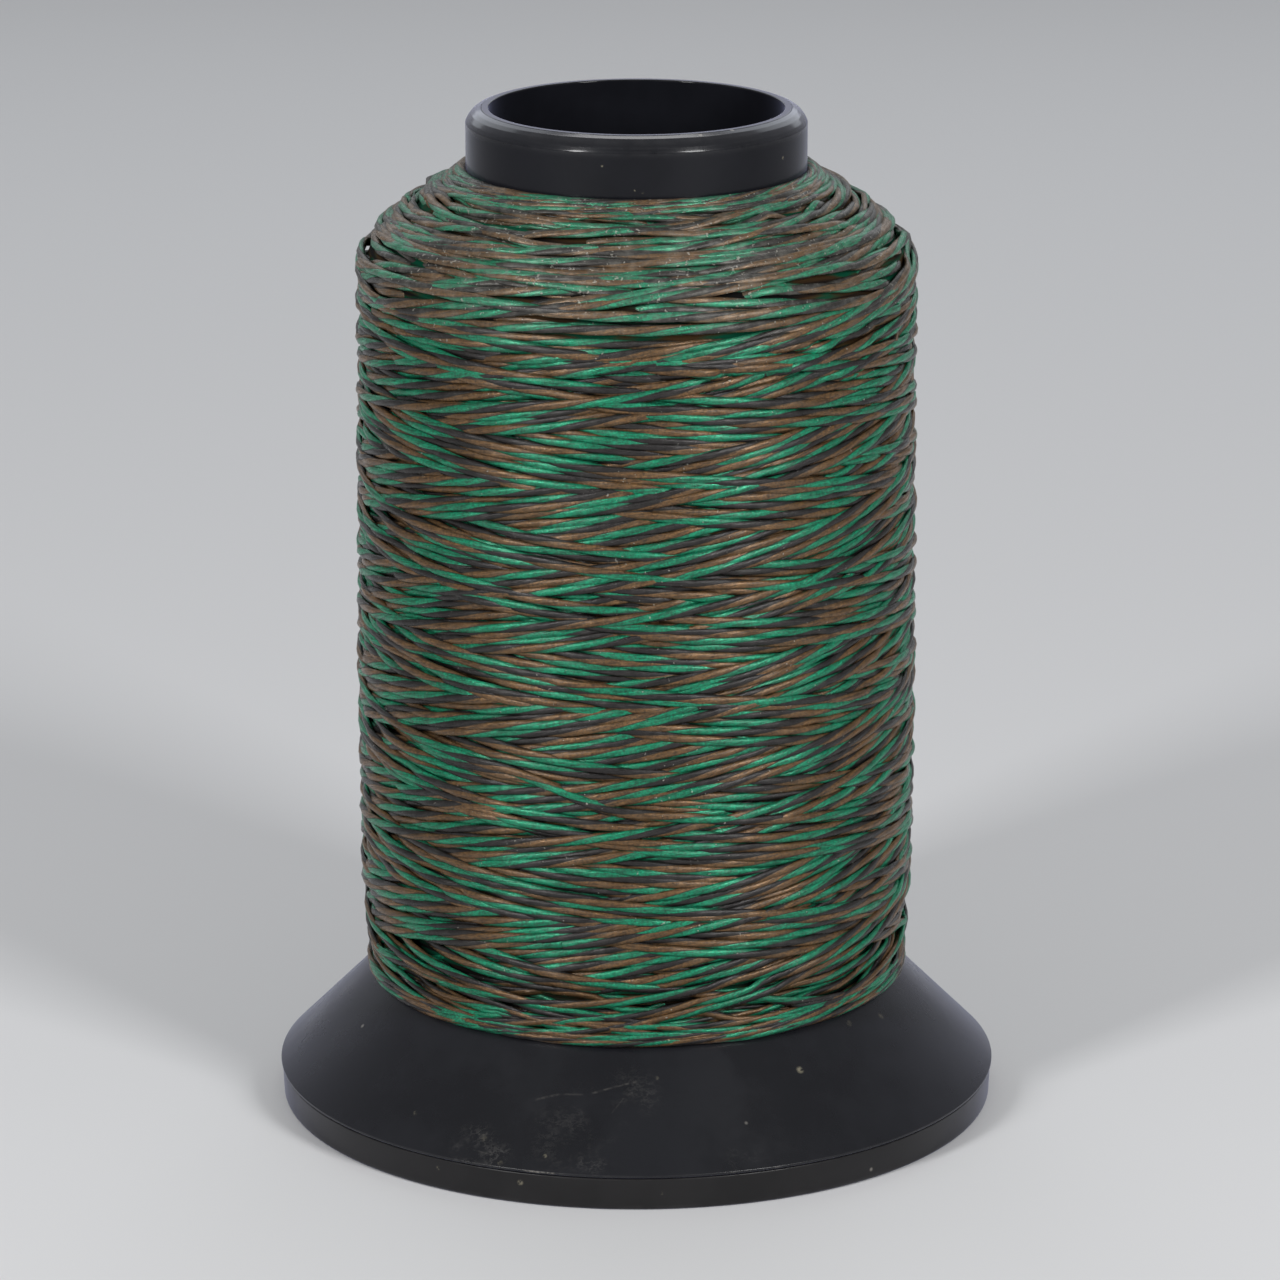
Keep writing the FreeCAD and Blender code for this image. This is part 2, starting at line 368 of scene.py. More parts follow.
def plied_strand_tree():
    """A three-lobed strand swept along a path, turned by the path's own twist and pressed flat a little."""
    inputs = ("Geometry", "Diameter", "Groove", "Dark Share", "Flatness", "Corners Per Ply", "Material")
    given, result = node_tree("plied_strand", "Geometry", inputs, ("Geometry",))
    tree = result.id_data

    def stored(geometry, name, value):
        inputs = {"Geometry": geometry, "Name": name, "Value": value}
        settings = {"data_type": "FLOAT_VECTOR", "domain": "POINT"}
        return add(tree, "GeometryNodeStoreNamedAttribute", inputs, **settings)

    def named(name, kind="FLOAT_VECTOR"):
        return add(tree, "GeometryNodeInputNamedAttribute", {"Name": name}, data_type=kind)

    def on_circle(turns):
        angle = turns * TURN
        return vector(maths("COSINE", angle), maths("SINE", angle))

    path = add(tree, "GeometryNodeMeshToCurve", {"Mesh": given["Geometry"]})
    path = add(tree, "GeometryNodeSetCurveNormal", {"Curve": path}, mode="Z_UP")
    path = add(tree, "GeometryNodeSetCurveTilt", {"Curve": path, "Tilt": named("twist", "FLOAT") * -TURN})
    path = stored(path, "middle", add(tree, "GeometryNodeInputPosition"))
    corners = given["Corners Per Ply"] * 3.0
    ring = add(tree, "GeometryNodeCurvePrimitiveCircle", {"Resolution": corners, "Radius": 1.0})
    share = add(tree, "GeometryNodeInputIndex") / corners
    # The section is narrowest at the three grooves between the plies.
    dip = (maths("COSINE", share * (3 * TURN)) + 1.0) * 0.5
    reach = (1.0 - dip * given["Groove"]) * (given["Diameter"] * 0.5)
    # The first two plies share what the dark ply leaves of the girth.
    first = share * ((1.0 - given["Dark Share"]) * 1.5)
    left = (1.0 - share) * (given["Dark Share"] * 3.0)
    true_share = maths("MINIMUM", first, 1.0 - left)
    section = add(tree, "GeometryNodeSetPosition", {
        "Geometry": stored(ring, "around", on_circle(share)),
        "Position": vectors("SCALE", on_circle(true_share), reach),
    })
    sweep = {"Curve": path, "Profile Curve": section, "Fill Caps": True}
    swept = add(tree, "GeometryNodeCurveToMesh", sweep)
    # Pressed flat: the part of each point's offset that stands off the package is cut down.
    outward = named("outward")
    offset = vectors("SUBTRACT", add(tree, "GeometryNodeInputPosition"), named("middle"))
    sunk = vectors("DOT_PRODUCT", offset, outward) * given["Flatness"] * -1.6
    shift = vectors("ADD", vectors("SCALE", offset, given["Flatness"]), vectors("SCALE", outward, sunk))
    pressed = add(tree, "GeometryNodeSetPosition", {"Geometry": swept, "Offset": shift})
    smooth = add(tree, "GeometryNodeSetShadeSmooth", {"Geometry": pressed})
    dressed(result, smooth, given["Material"])


TREES = {
    "moulded_grain": grain_group, "dust": dust_group, "scratch": scratch_group, "edge_wear": wear_group,
    "wax": wax_group, "three_ply": ply_group, "around_axis": around_axis_tree,
    "plied_strand": plied_strand_tree,
}


def tree_named(name):
    """One of the node trees, built the first time it is asked for."""
    if name not in bpy.data.node_groups:
        TREES[name]()
    return bpy.data.node_groups[name]


def group(name, inputs):
    """The first output of a shader group's node."""
    made = home(*inputs.values()).nodes.new("ShaderNodeGroup")
    made.node_tree = tree_named(name)
    fill(made, inputs)
    return Value(made)


# Materials


def new_material(name):
    """A new material, its shader and its object coordinates."""
    made = bpy.data.materials.new(name)
    made.use_nodes = True
    tree = made.node_tree
    tree.nodes.clear()
    shader = tree.nodes.new("ShaderNodeBsdfPrincipled")
    fill(tree.nodes.new("ShaderNodeOutputMaterial"), {"Surface": Value(shader)})
    return made, shader, Value(tree.nodes.new("ShaderNodeTexCoord"), "Object")


def attribute(shader, name, output="Fac"):
    """An attribute of the mesh, in the tree of a shader."""
    return add(shader.id_data, "ShaderNodeAttribute", output=output, attribute_name=name)


def in_mm(point):
    return [v * MM for v in point]


def spot(place, centre, reach, strength):
    """A soft round mask about a point."""
    away = vectors("DISTANCE", place, in_mm(centre))
    return ramp(away, reach * MM * 0.3, reach * MM, 1.0, 0.0) * strength


# Centre, reach and strength of each rubbed patch, and of each crumb of dirt, in millimetres.
CONE_RUBBED = (
    ((-6.0, -34.0, 7.0), 7.0, 0.4), ((-0.5, -32.0, 10.2), 4.2, 0.5), ((-5.0, -36.2, 4.6), 3.6, 0.6),
    ((-16.6, -33.0, 4.9), 3.4, 1.0), ((-14.4, -34.6, 4.4), 2.4, 1.0), ((11.0, -36.0, 4.3), 3.0, 0.35),
)
CONE_CRUMBS = (
    ((16.91, -26.24, 10.93), 0.52, 0.45), ((-22.91, -27.22, 6.56), 0.36, 0.2),
    ((22.23, -18.4, 13.29), 0.5, 0.1), ((25.74, -14.4, 12.65), 0.5, 0.12),
    ((-15.64, -32.71, 5.88), 0.5, 0.08), ((-13.95, -35.34, 4.15), 0.4, 0.12),
    ((-9.34, -35.84, 5.11), 0.3, 0.3), ((2.1, -30.47, 11.6), 0.28, 0.15),
)
COLLAR_CRUMBS = (
    ((-3.47, -17.36, 104.15), 0.16, 0.5), ((-0.25, -17.7, 101.66), 0.19, 0.8),
    ((0.65, -17.69, 101.46), 0.17, 0.45), ((14.92, -9.52, 103.43), 0.24, 0.45),
)
BASE_CRUMBS = (
    ((-11.9, -36.3, 2.34), 0.42, 0.4), ((-20.4, -32.2, 2.4), 0.3, 0.3), ((2.6, -38.1, 1.9), 0.3, 0.25),
)
# Start, end, width and strength of each scratch, in millimetres.
CONE_SCRATCHES = (
    ((-10.63, -30.99, 9.39), (-7.65, -31.12, 10.09), 0.34, 0.07),
    ((-7.9, -31.1, 10.05), (-5.3, -31.52, 10.15), 0.24, 0.06),
    ((-4.77, -31.54, 10.25), (0.25, -30.76, 11.38), 0.3, 0.11),
    ((-0.9, -31.9, 10.2), (0.9, -31.0, 11.1), 0.22, 0.05),
    ((-2.6, -33.3, 8.7), (-1.2, -32.0, 10.1), 0.2, 0.04),
    ((-11.7, -36.47, 3.78), (-8.2, -37.41, 3.78), 0.2, 0.55),
    ((-8.4, -37.37, 3.78), (-2.5, -38.2, 3.78), 0.16, 0.1),
    ((9.1, -37.2, 3.78), (15.0, -35.25, 3.78), 0.16, 0.3),
    ((-16.9, -33.3, 4.9), (-14.9, -34.4, 4.7), 0.2, 0.08),
    ((-15.9, -32.4, 6.1), (-15.2, -32.5, 6.3), 0.2, 0.12),
)


def plastic(name, tint, roughness, shine, rubbed=(), crumbs=(), scratches=()):
    """Satin moulded plastic with grain, worn edges, dust, crumbs of dirt, rubbed patches and scratches."""
    made, shader, place = new_material(name)
    tints = finishes()
    patch, dirt, lines = 0.0, 0.0, 0.0
    for centre, reach, strength in rubbed:
        patch = maths("MAXIMUM", patch, spot(place, centre, reach, strength))
    ragged = ramp(noise(place, 2400.0, 3.0, 0.7), 0.4, 0.58)
    for centre, reach, strength in crumbs:
        dirt = maths("MAXIMUM", dirt, spot(place, centre, reach, strength) * ragged)
    for start, end, width, strength in scratches:
        ends = {"Start": in_mm(start), "End": in_mm(end)}
        line = group("scratch", {"Vector": place, **ends, "Width": width * MM})
        lines = maths("MAXIMUM", lines, line * strength)
    grain = group("moulded_grain", {"Vector": place, "Grain Size": 3200.0})
    dust = group("dust", {"Vector": place, "Amount": 0.12, "Patch": patch})
    wear = group("edge_wear", {"Vector": place, "Edge": attribute(shader, "edge"), "Amount": 0.6})
    base = mixed(grain["Cloud"], tint, shaded(tint, 1.35))
    base = mixed(wear * 0.12, base, tints.worn)
    base = mixed(dust["Rub"] * 0.07, base, tints.dust)
    base = mixed(dust["Specks"] * 0.6, base, tints.dust)
    base = mixed(lines, base, shaded(tints.dust, 1.1))
    rough = ramp(grain["Cloud"], 0.0, 1.0, roughness, roughness + 0.07)
    rough = rough + dust["Rub"] * 0.25 + dust["Specks"] * 0.3 - wear * 0.05
    # The bore is smoother than the outside.
    radius = vectors("LENGTH", vectors("MULTIPLY", place, (1.0, 1.0, 0.0)))
    outside = ramp(radius, sizes().bore + 0.02 * MM, sizes().bore + 0.1 * MM)
    # Handling has polished the lip.
    lip = ramp(height_of(place), sizes().height - 2.3 * MM, sizes().height - 0.4 * MM, 0.0, 0.95)
    fill(shader, {
        "Base Color": mixed(dirt, base, tints.dirt),
        "Roughness": rough * ramp(outside, 0.0, 1.0, 0.4, 1.0),
        "Specular IOR Level": shine,
        "Coat Weight": lip * outside,
        "Coat Roughness": 0.12,
        "Normal": bumped(grain["Height"] + dust["Rub"] * 1.5, 0.25, 0.012 * MM),
        # A bluish haze, as on handled plastic, shows where the surface turns away.
        "Sheen Weight": 0.5,
        "Sheen Roughness": 0.3,
        "Sheen Tint": (0.64, 0.67, 1.0, 1.0),
    })
    return made


def waxed_line(name):
    """The three-ply line: a colour for each ply, its filaments, painted shade in its grooves, and wax on
    top, whose bloom is partly painted light.
    """
    made, shader, place = new_material(name)
    tints = finishes()
    ply = group("three_ply", {
        "Vector": place,
        "Around": attribute(shader, "around", "Vector"), "Along": attribute(shader, "along"),
        "First": (*tints.brown, 1.0), "Second": (*tints.green, 1.0), "Third": (*tints.dark, 1.0),
    })
    wax = group("wax", {"Vector": place, "Low": 84.0 * MM, "High": 95.0 * MM})
    # Paler towards the shoulder: wax bloom, and painted light where the shoulder faces up.
    base = mixed(wax["Bloom And Shoulder Light"], ply["Color"], tints.wax)
    fill(shader, {
        "Base Color": mixed(wax["Crumbs"] * 0.5, base, tints.wax),
        "Roughness": ramp(ply["Height"], 0.75, 1.35, 0.42, 0.22) + wax["Crumbs"] * 0.15,
        "Normal": bumped(ply["Height"] + wax["Crumbs"] * 0.8, 0.9, 0.065 * MM),
        # Dyed fibres tint their own gloss.
        "Metallic": 0.3,
        "Specular IOR Level": 0.4,
    })
    return made


def deep_line(name):
    """The line under the outer lay, seen only in the gaps, in its ply colours darkened as painted shade."""
    made, shader, place = new_material(name)
    tints = finishes()
    rings = noise(vectors("MULTIPLY", place, (60.0, 60.0, 1500.0)), 1.0)
    patches = noise(vectors("MULTIPLY", place, (150.0, 150.0, 900.0)), 1.0)
    # Painted shade: the ply colours are darkened to about a third, for the line that lies in shade under
    # the lay.
    base = mixed(ramp(patches, 0.42, 0.58), shaded(tints.green, 0.35), shaded(tints.brown, 0.4))
    fill(shader, {
        "Base Color": mixed(ramp(rings, 0.4, 0.62), base, shaded(tints.dark, 0.4)),
        "Roughness": 0.9,
        "Specular IOR Level": 0.1,
        "Normal": bumped(rings, 0.8, 0.2 * MM),
    })
    return made


def material(name):
    """One of the spool's materials, made the first time it is asked for."""
    full, tints = "spool_" + name, finishes()
    if full in bpy.data.materials:
        return bpy.data.materials[full]
    if name == "black":
        return plastic(full, tints.black, 0.19, 0.16, crumbs=COLLAR_CRUMBS)
    if name == "cone":
        return plastic(full, tints.black, 0.26, 0.36, CONE_RUBBED, CONE_CRUMBS, CONE_SCRATCHES)
    if name == "base":
        return plastic(full, tints.base_black, 0.3, 0.24, crumbs=BASE_CRUMBS)
    return waxed_line(full) if name == "line" else deep_line(full)


# Meshes


def new_object(name, data):
    made = bpy.data.objects.new(name, data)
    bpy.context.scene.collection.objects.link(made)
    return made


def mesh_from(name, points, faces):
    mesh = bpy.data.meshes.new(name)
    mesh.from_pydata([tuple(p) for p in points], [], [tuple(f) for f in faces])
    mesh.update()
    return mesh


def softened(corners):
    """The points of a closed outline of (radius, height, rounding) corners, and 1 for each on a rounding.

    Beside each rounding a spare point keeps the flat wall's shading flat.
    """
    steps = 5
    points, edges = [], []

    def put(point, edge):
        points.append(point)
        edges.append(edge)

    for i, (r, z, rounding) in enumerate(corners):
        here = Vector((r, z))
        back = Vector(corners[i - 1][:2]) - here
        ahead = Vector(corners[(i + 1) % len(corners)][:2]) - here
        if rounding <= 0:
            put(here, 0.0)
            continue
        half = back.angle(ahead) / 2
        reach = rounding / math.tan(half)
        to_back, to_ahead = back.normalized(), ahead.normalized()
        start, end = here + to_back * reach, here + to_ahead * reach
        centre = here + (to_back + to_ahead).normalized() * (rounding / math.sin(half))
        spare = 0.6 * rounding
        room = 2.2 * (reach + spare)
        if back.length > room:
            put(start + to_back * spare, 0.0)
        a, b = start - centre, end - centre
        swing = a.angle_signed(b)
        for k in range(steps + 1):
            turn = -swing * k / steps
            c, s = math.cos(turn), math.sin(turn)
            put(centre + Vector((a.x * c - a.y * s, a.x * s + a.y * c)), 1.0)
        if ahead.length > room:
            put(end + to_ahead * spare, 0.0)
    return points, edges


def lathed(name, corners):
    """A closed outline turned round the spool's axis as a smooth mesh, with its worn edges marked."""
    segments = 256
    outline, edges = softened(corners)
    area = sum(a.x * b.y - b.x * a.y for a, b in zip(outline, outline[1:] + outline[:1]))
    if area < 0:
        outline.reverse()
        edges.reverse()
    n = len(outline)
    points, faces = [], []
    for i in range(segments):
        c, s = math.cos(TURN * i / segments), math.sin(TURN * i / segments)
        points += [(p.x * c, p.x * s, p.y) for p in outline]
        a, b = i * n, (i + 1) % segments * n
        faces += [(a + k, b + k, b + (k + 1) % n, a + (k + 1) % n) for k in range(n)]
    mesh = mesh_from(name, points, faces)
    mesh.polygons.foreach_set("use_smooth", [True] * len(mesh.polygons))
    mesh.attributes.new("edge", "FLOAT", "POINT").data.foreach_set("value", edges * segments)
    return mesh


def prism(name, outline, half):
    """A flat outline of (x, z) points given a thickness along Y, half of it to each side."""
    n = len(outline)
    points = [(x, y, z) for y in (-half, half) for x, z in outline]
    faces = [tuple(range(n)), tuple(range(2 * n - 1, n - 1, -1))]
    faces += [(k, n + k, n + (k + 1) % n, (k + 1) % n) for k in range(n)]
    return mesh_from(name, points, faces)


def plain_mesh(name, source, *helpers):
    """The mesh that an object's modifier makes. The object and its helpers are removed."""
    seen = source.evaluated_get(bpy.context.evaluated_depsgraph_get())
    result = bpy.data.meshes.new_from_object(seen)
    for item in (source, *helpers):
        bpy.data.objects.remove(item)
    result.name = name
    return result


def grown(name, mesh, tree_name, inputs):
    """The plain mesh that a geometry node tree makes of a mesh."""
    source = new_object(name, mesh)
    modifier = source.modifiers.new(tree_name, "NODES")
    modifier.node_group = tree_named(tree_name)
    for item in modifier.node_group.interface.items_tree:
        if item.in_out == "INPUT" and item.name in inputs:
            modifier[item.identifier] = inputs[item.name]
    return plain_mesh(name, source)


def combined(name, body, tool, operation):
    """The plain mesh of one mesh joined with, or cut by, another."""
    first, second = new_object(name, body), new_object(name + "_tool", tool)
    modifier = first.modifiers.new("combine", "BOOLEAN")
    modifier.operation = operation
    modifier.object = second
    modifier.solver = "EXACT"
    return plain_mesh(name, first, second)


def placed(name, mesh, finish, body, slot, *nodes):
    """The finished piece of a mesh, riding on its body in place of its CAD nodes."""
    mesh.materials.clear()
    mesh.materials.append(material(finish))
    piece = new_object(name, mesh)
    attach(piece, body)
    if nodes:
        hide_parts(*nodes)


# The mouldings


def flange_top(r):
    """Height of the flange's outer slope at a radius."""
    return sizes().flange_foot + 0.25 * MM + sizes().flange - r


def build_barrel():
    s = sizes()
    e = s.edge
    foot, bead = 2.55 * MM, 3.35 * MM
    bead_r, bead_top = s.barrel + 0.5 * MM, bead + 1.0 * MM
    return lathed("barrel_tube", [
        (s.bore, foot, e), (s.barrel, foot, 2 * e), (s.barrel, bead, e), (bead_r, bead + 0.5 * MM, e),
        (bead_r, bead_top, e), (s.barrel, bead_top, e), (s.barrel, s.collar_foot, e),
        (s.spigot, s.collar_foot, e), (s.spigot, s.height, 0.6 * e), (s.bore, s.height, 1.1 * e),
    ])


def build_collar():
    s = sizes()
    e = s.edge
    inner, drop = s.spigot + 0.03 * MM, s.lip / 1.5
    foot = s.collar_foot + 0.02 * MM
    # The dome falls away in four facets, each eased into the next.
    return lathed("collar_ring", [
        (inner, foot, e), (s.collar, foot, 2 * e), (s.collar, s.height - 1.5 * drop, 0.45 * MM),
        (s.collar - 0.24 * drop, s.height - 1.05 * drop, 0.3 * MM),
        (s.collar - 0.6 * drop, s.height - 0.58 * drop, 0.4 * MM),
        (s.collar - 1.05 * drop, s.height - 0.25 * drop, 0.4 * MM),
        (inner, s.height - 0.03 * drop, 0.03 * MM),
    ])


def build_flange():
    s = sizes()
    e = s.edge
    inner, sleeve, sleeve_foot = s.barrel + 0.02 * MM, s.barrel + 2.0 * MM, 10.15 * MM
    drop = s.flange_wall * math.sqrt(2)
    gusset_half = 0.6 * MM

    def under(r):
        return flange_top(r) - drop

    skirt = lathed("skirt", [
        (inner, sleeve_foot, e), (sleeve, sleeve_foot, e), (sleeve, under(sleeve), 3 * e),
        (s.flange + 0.25 * MM - drop, s.flange_foot, e), (s.flange, s.flange_foot, 0.7 * e),
        (s.flange, s.flange_foot + 0.25 * MM, 0.7 * e), (inner, flange_top(inner), e),
    ])
    root, toe = sleeve - 1.0 * MM, sleeve + under(sleeve) - sleeve_foot + drop / 2
    gusset = [(root, sleeve_foot), (toe, sleeve_foot), (root, under(root) + drop / 2)]
    gussets = grown("gussets", prism("gusset", gusset, gusset_half), "around_axis", {
        "Count": 8, "Material": material("cone"),
    })
    return combined("cone_skirt", skirt, gussets, "UNION")


def build_base():
    s = sizes()
    e = s.edge
    rim, wall = s.base + 0.15 * MM, 1.8 * MM
    web, top = 1.0 * MM, 2.4 * MM
    hub, hub_top = 17.4 * MM, 9.15 * MM
    hook, hook_foot = 16.75 * MM, 7.15 * MM
    finger, hole = hub + 1.3 * MM, s.bore + 0.3 * MM
    slot_half = 0.8 * MM
    cup = lathed("cup", [
        (hole, web, e), (s.base - wall, web, 2 * e), (s.base - wall, 0, e), (s.base, 0, 0.4 * MM),
        (rim, s.base_height, e), (rim - wall, s.base_height, e), (rim - wall, top, 2 * e),
        (finger, top, 2 * e), (finger, hub_top, e), (hook + 0.5 * MM, hub_top, e),
        (hook, hub_top - 0.5 * MM, e), (hook, hook_foot, e), (hub, hook_foot, e), (hub, top, e),
        (hole, top, e),
    ])
    near, far, high = s.barrel - MM, finger + MM, hub_top + MM
    slot = prism("slot", [(near, top), (far, top), (far, high), (near, high)], slot_half)
    slots = grown("slots", slot, "around_axis", {"Count": 4, "Material": material("base")})
    return combined("clip_base", cup, slots, "DIFFERENCE")


# The wound line


def held(x):
    return np.clip(x, 0, 1)


def eased(x, size=1.0):
    """A smooth step from 0 to a size while x goes from 0 to 1."""
    x = held(x)
    return size * x * x * (3 - 2 * x)


class PackageOutline:
    """The package under its outer lay: up the side, round the shoulder and up the slope to the collar.

    Its shoulder attribute is where heights off it change from the side's to the shoulder's.
    """

    slope = math.radians(40.0)
    slope_fullness = 0.55 * MM
    shoulder_z = 92.1 * MM
    shoulder_round = 6.0 * MM

    def __init__(self):
        line, mould = line_sizes(), sizes()
        half = line.strand / 2 + 0.05 * MM
        self.full = line.package
        self.r = line.package - line.depth
        self.swell, self.foot_round = line.swell, line.foot_round
        self.round = self.shoulder_round - line.depth
        self.turn = math.pi / 2 - self.slope
        self.foot = flange_top(self.r - self.foot_round) + half * math.sqrt(2)
        self.straight = self.shoulder_z - self.shoulder_round * math.tan(self.turn / 2) - self.foot
        self.arc = self.round * self.turn
        self.shoulder = (self.straight - 7 * MM, self.straight - 2 * MM)
        bend_end = self.full - self.shoulder_round + self.round * math.cos(self.turn)
        self.length = self.straight + self.arc + (bend_end - mould.collar - half) / math.cos(self.slope)

    def at(self, s, lift):
        """Radius and height at distances along the outline and lifted off it."""
        s = np.clip(s, 0, self.length)
        # The slope is a little fuller than straight.
        inner = held((s - self.straight + 0.6 * MM) / (4 * MM)) * held((self.length - s) / (4 * MM))
        lift = lift + eased(inner, self.slope_fullness)
        a = np.clip((s - self.straight) / self.round, 0, self.turn)
        past = np.maximum(s - self.straight - self.arc, 0)
        on_side = s < self.straight
        bend_r = self.full - self.shoulder_round
        side_r = self.r + self.swell * np.sin(math.pi * held(s / self.straight) ** 0.7) ** 1.5
        side_r = side_r - self.foot_round * held(1 - s / (9 * MM)) ** 2
        r = np.where(on_side, side_r, bend_r + self.round * np.cos(a) - past * math.cos(self.slope))
        z = np.where(on_side, s, self.straight + self.round * np.sin(a) + past * math.sin(self.slope))
        z = z + self.foot
        # At its ends the lay grows along the flange's slope and up the collar's wall.
        foot = held(1 - s / (6 * MM))
        top = held(1 - (self.length - s) / (5 * MM))
        return r + lift * np.cos(a) * (1 - top), z + lift * ((np.sin(a) - foot) * (1 - top) + top)

    def rise(self, s):
        """How far the line climbs along the outline in one turn."""
        line = line_sizes()
        change = line.shoulder_rise - line.rise
        return line.rise + change * eased((s - self.straight + 5 * MM) / (9 * MM))


# Which strokes lie beside which: runs of neighbours, laid one run after another.
RUNS = ((0, 8), (13, 20), (8, 13), (20, 26), (4, 10), (16, 23), (10, 16), (0, 5), (23, 26))
PLACES = 26
STRAY = 22.3
# After these strokes the line comes down the shoulder in close turns.
CLOSE = (9, 17, 25, 31)
# Before these it takes a whole turn round the foot.
RINGS = (6, 12, 17, 22, 26, 30, 33)
PER_TURN = 360
# Close turns under the strokes, up the side and then up the slope.
SIDE_TURNS, SLOPE_TURNS = 62, 15.3
# The line travels at least this part of a turn at each end of a stroke.
LEAST_TRAVEL = 0.04
# The share of the strokes that turn back on the shoulder, below the collar.
SHORT_SHARE = 0.58
GOLDEN = 0.618034
# In front, on its last way down, the line slips off its lead: where along the side, and by how much.
SLIP_AT, SLIP = 26.4 * MM, 2.0 * MM
# The field of heights that the line is laid on: the size of its cells, and spare rows at each end.
CELL, SPARE_ROWS = 0.1 * MM, 10
# How far a bridging line hangs at its first step past a crossing. It grows with the square of the steps.
SAG = 0.012 * MM
# A turn may stand this far proud of the package's mean height before it sinks.
PROUD = 0.2 * MM
# Heights off the outline, on the side and on the shoulder: of the core, and of the lowest turns that show.
CORE_LIFT = 0.75 * MM, 1.45 * MM
LEAST_LIFT = 1.15 * MM, 1.6 * MM


def strokes(outline, rng):
    """Turns round the axis and distance up the outline, for the whole of the laid line.

    Also the turns at which it turns about at the foot, and at the top.
    """
    fine = np.linspace(0, outline.length, 2000)
    turns = np.concatenate([[0], np.cumsum(np.diff(fine) / outline.rise((fine[1:] + fine[:-1]) / 2))])

    def climb(s):
        return np.interp(s, fine, turns)

    order = [k for a, b in RUNS for k in range(a, b)][:line_sizes().strokes]
    theta, height = [0.0, 3.4], [2.8 * MM, 0.2 * MM]
    feet, tops = [], []
    now, low = theta[-1], MM

    def travel(start, end, count=60):
        nonlocal now
        part = np.linspace(start, end, count)[1:]
        theta.extend(now + abs(climb(part) - climb(start)))
        height.extend(part)
        now += abs(climb(end) - climb(start))

    def go_on(by, s):
        nonlocal now
        now += by
        theta.append(now)
        height.append(s)

    def linger(share, s):
        go_on((share - now - LEAST_TRAVEL) % 1.0 + LEAST_TRAVEL, s)

    # Close turns lie under the strokes at the foot and up the slope under the collar.
    go_on(SIDE_TURNS, outline.straight - MM)
    under = now
    go_on(SLOPE_TURNS, outline.length)
    travel(outline.length, low)
    for k, place in enumerate(order + [STRAY]):
        low = float(np.clip(low + rng.uniform(-0.8, 0.8) * MM, 0, 3.0 * MM))
        if k in RINGS:
            low = 0.2 * MM
            now += 1
        linger(place / PLACES + rng.normal(0, 0.005) + climb(low), low)
        feet.append(now)
        share = (0.2 + GOLDEN * k) % 1.0
        far = share > SHORT_SHARE or k in CLOSE
        high = outline.length if far else outline.straight + (share / SHORT_SHARE * 13 - 1) * MM
        travel(low, high)
        back = place / PLACES - 0.03 + rng.normal(0, 0.005)
        wait = (back - climb(high) - now) % 1.0
        if wait > 0.55 and not far:
            further = min(high + (wait - 0.3) * float(outline.rise(high)) / 2, outline.length)
            travel(high, further, 10)
            high = further
        high = float(np.clip(high + rng.uniform(-1.0, 1.0) * MM, 0, outline.length))
        linger(back - climb(high), high)
        tops.append(now)
        if k in CLOSE:
            high = outline.straight - 2 * MM
            wait = (back - climb(high) - now) % 1.0
            theta.extend((now + 8, now + 11 + wait))
            height.extend((outline.straight + 5 * MM, high))
            now += 11 + wait
        low = abs(rng.normal(0, 1.2)) * MM
        travel(high, low)
    slip = now + climb(low) - climb(SLIP_AT)
    grid = np.arange(0, theta[-1], 1 / PER_TURN)
    s = np.interp(grid, theta, height)

    def rounded(values, spread):
        sigma = spread * PER_TURN
        x = np.arange(-int(3 * sigma), int(3 * sigma) + 1)
        weight = np.exp(-x * x / (2 * sigma * sigma))
        return np.convolve(np.pad(values, len(x) // 2, mode="edge"), weight / weight.sum(), mode="valid")

    # The close turns of the under layer lean a little, now one way and now the other.
    lean = held((grid - 5) / 5) * held((under - 2 - grid) / 5)
    s = s + 2.2 * MM * lean * np.sin(TURN * 1.02 * grid)
    # It turns about sharply at the foot and over most of a turn on the shoulder.
    upper = rounded(eased((s - outline.straight + 8 * MM) / (10 * MM)), 0.05)
    s = rounded(s, 0.06) * (1 - upper) + rounded(s, 0.27) * upper
    s = s + eased((s - outline.length + 5 * MM) / (4 * MM), 1.1 * MM)
    s = s - eased((grid - slip) / 0.067, SLIP)
    # The line wanders a little from its true lead, and its neighbours wander with it.
    for waves, drift, size in ((2, 0.11, 0.12), (5, 0.3, 0.07), (11.37, 0.0, 0.03)):
        s = s + size * MM * np.sin(TURN * waves * grid + drift * grid)
    return grid, np.clip(s, 0, outline.length), feet + [theta[-1]], tops


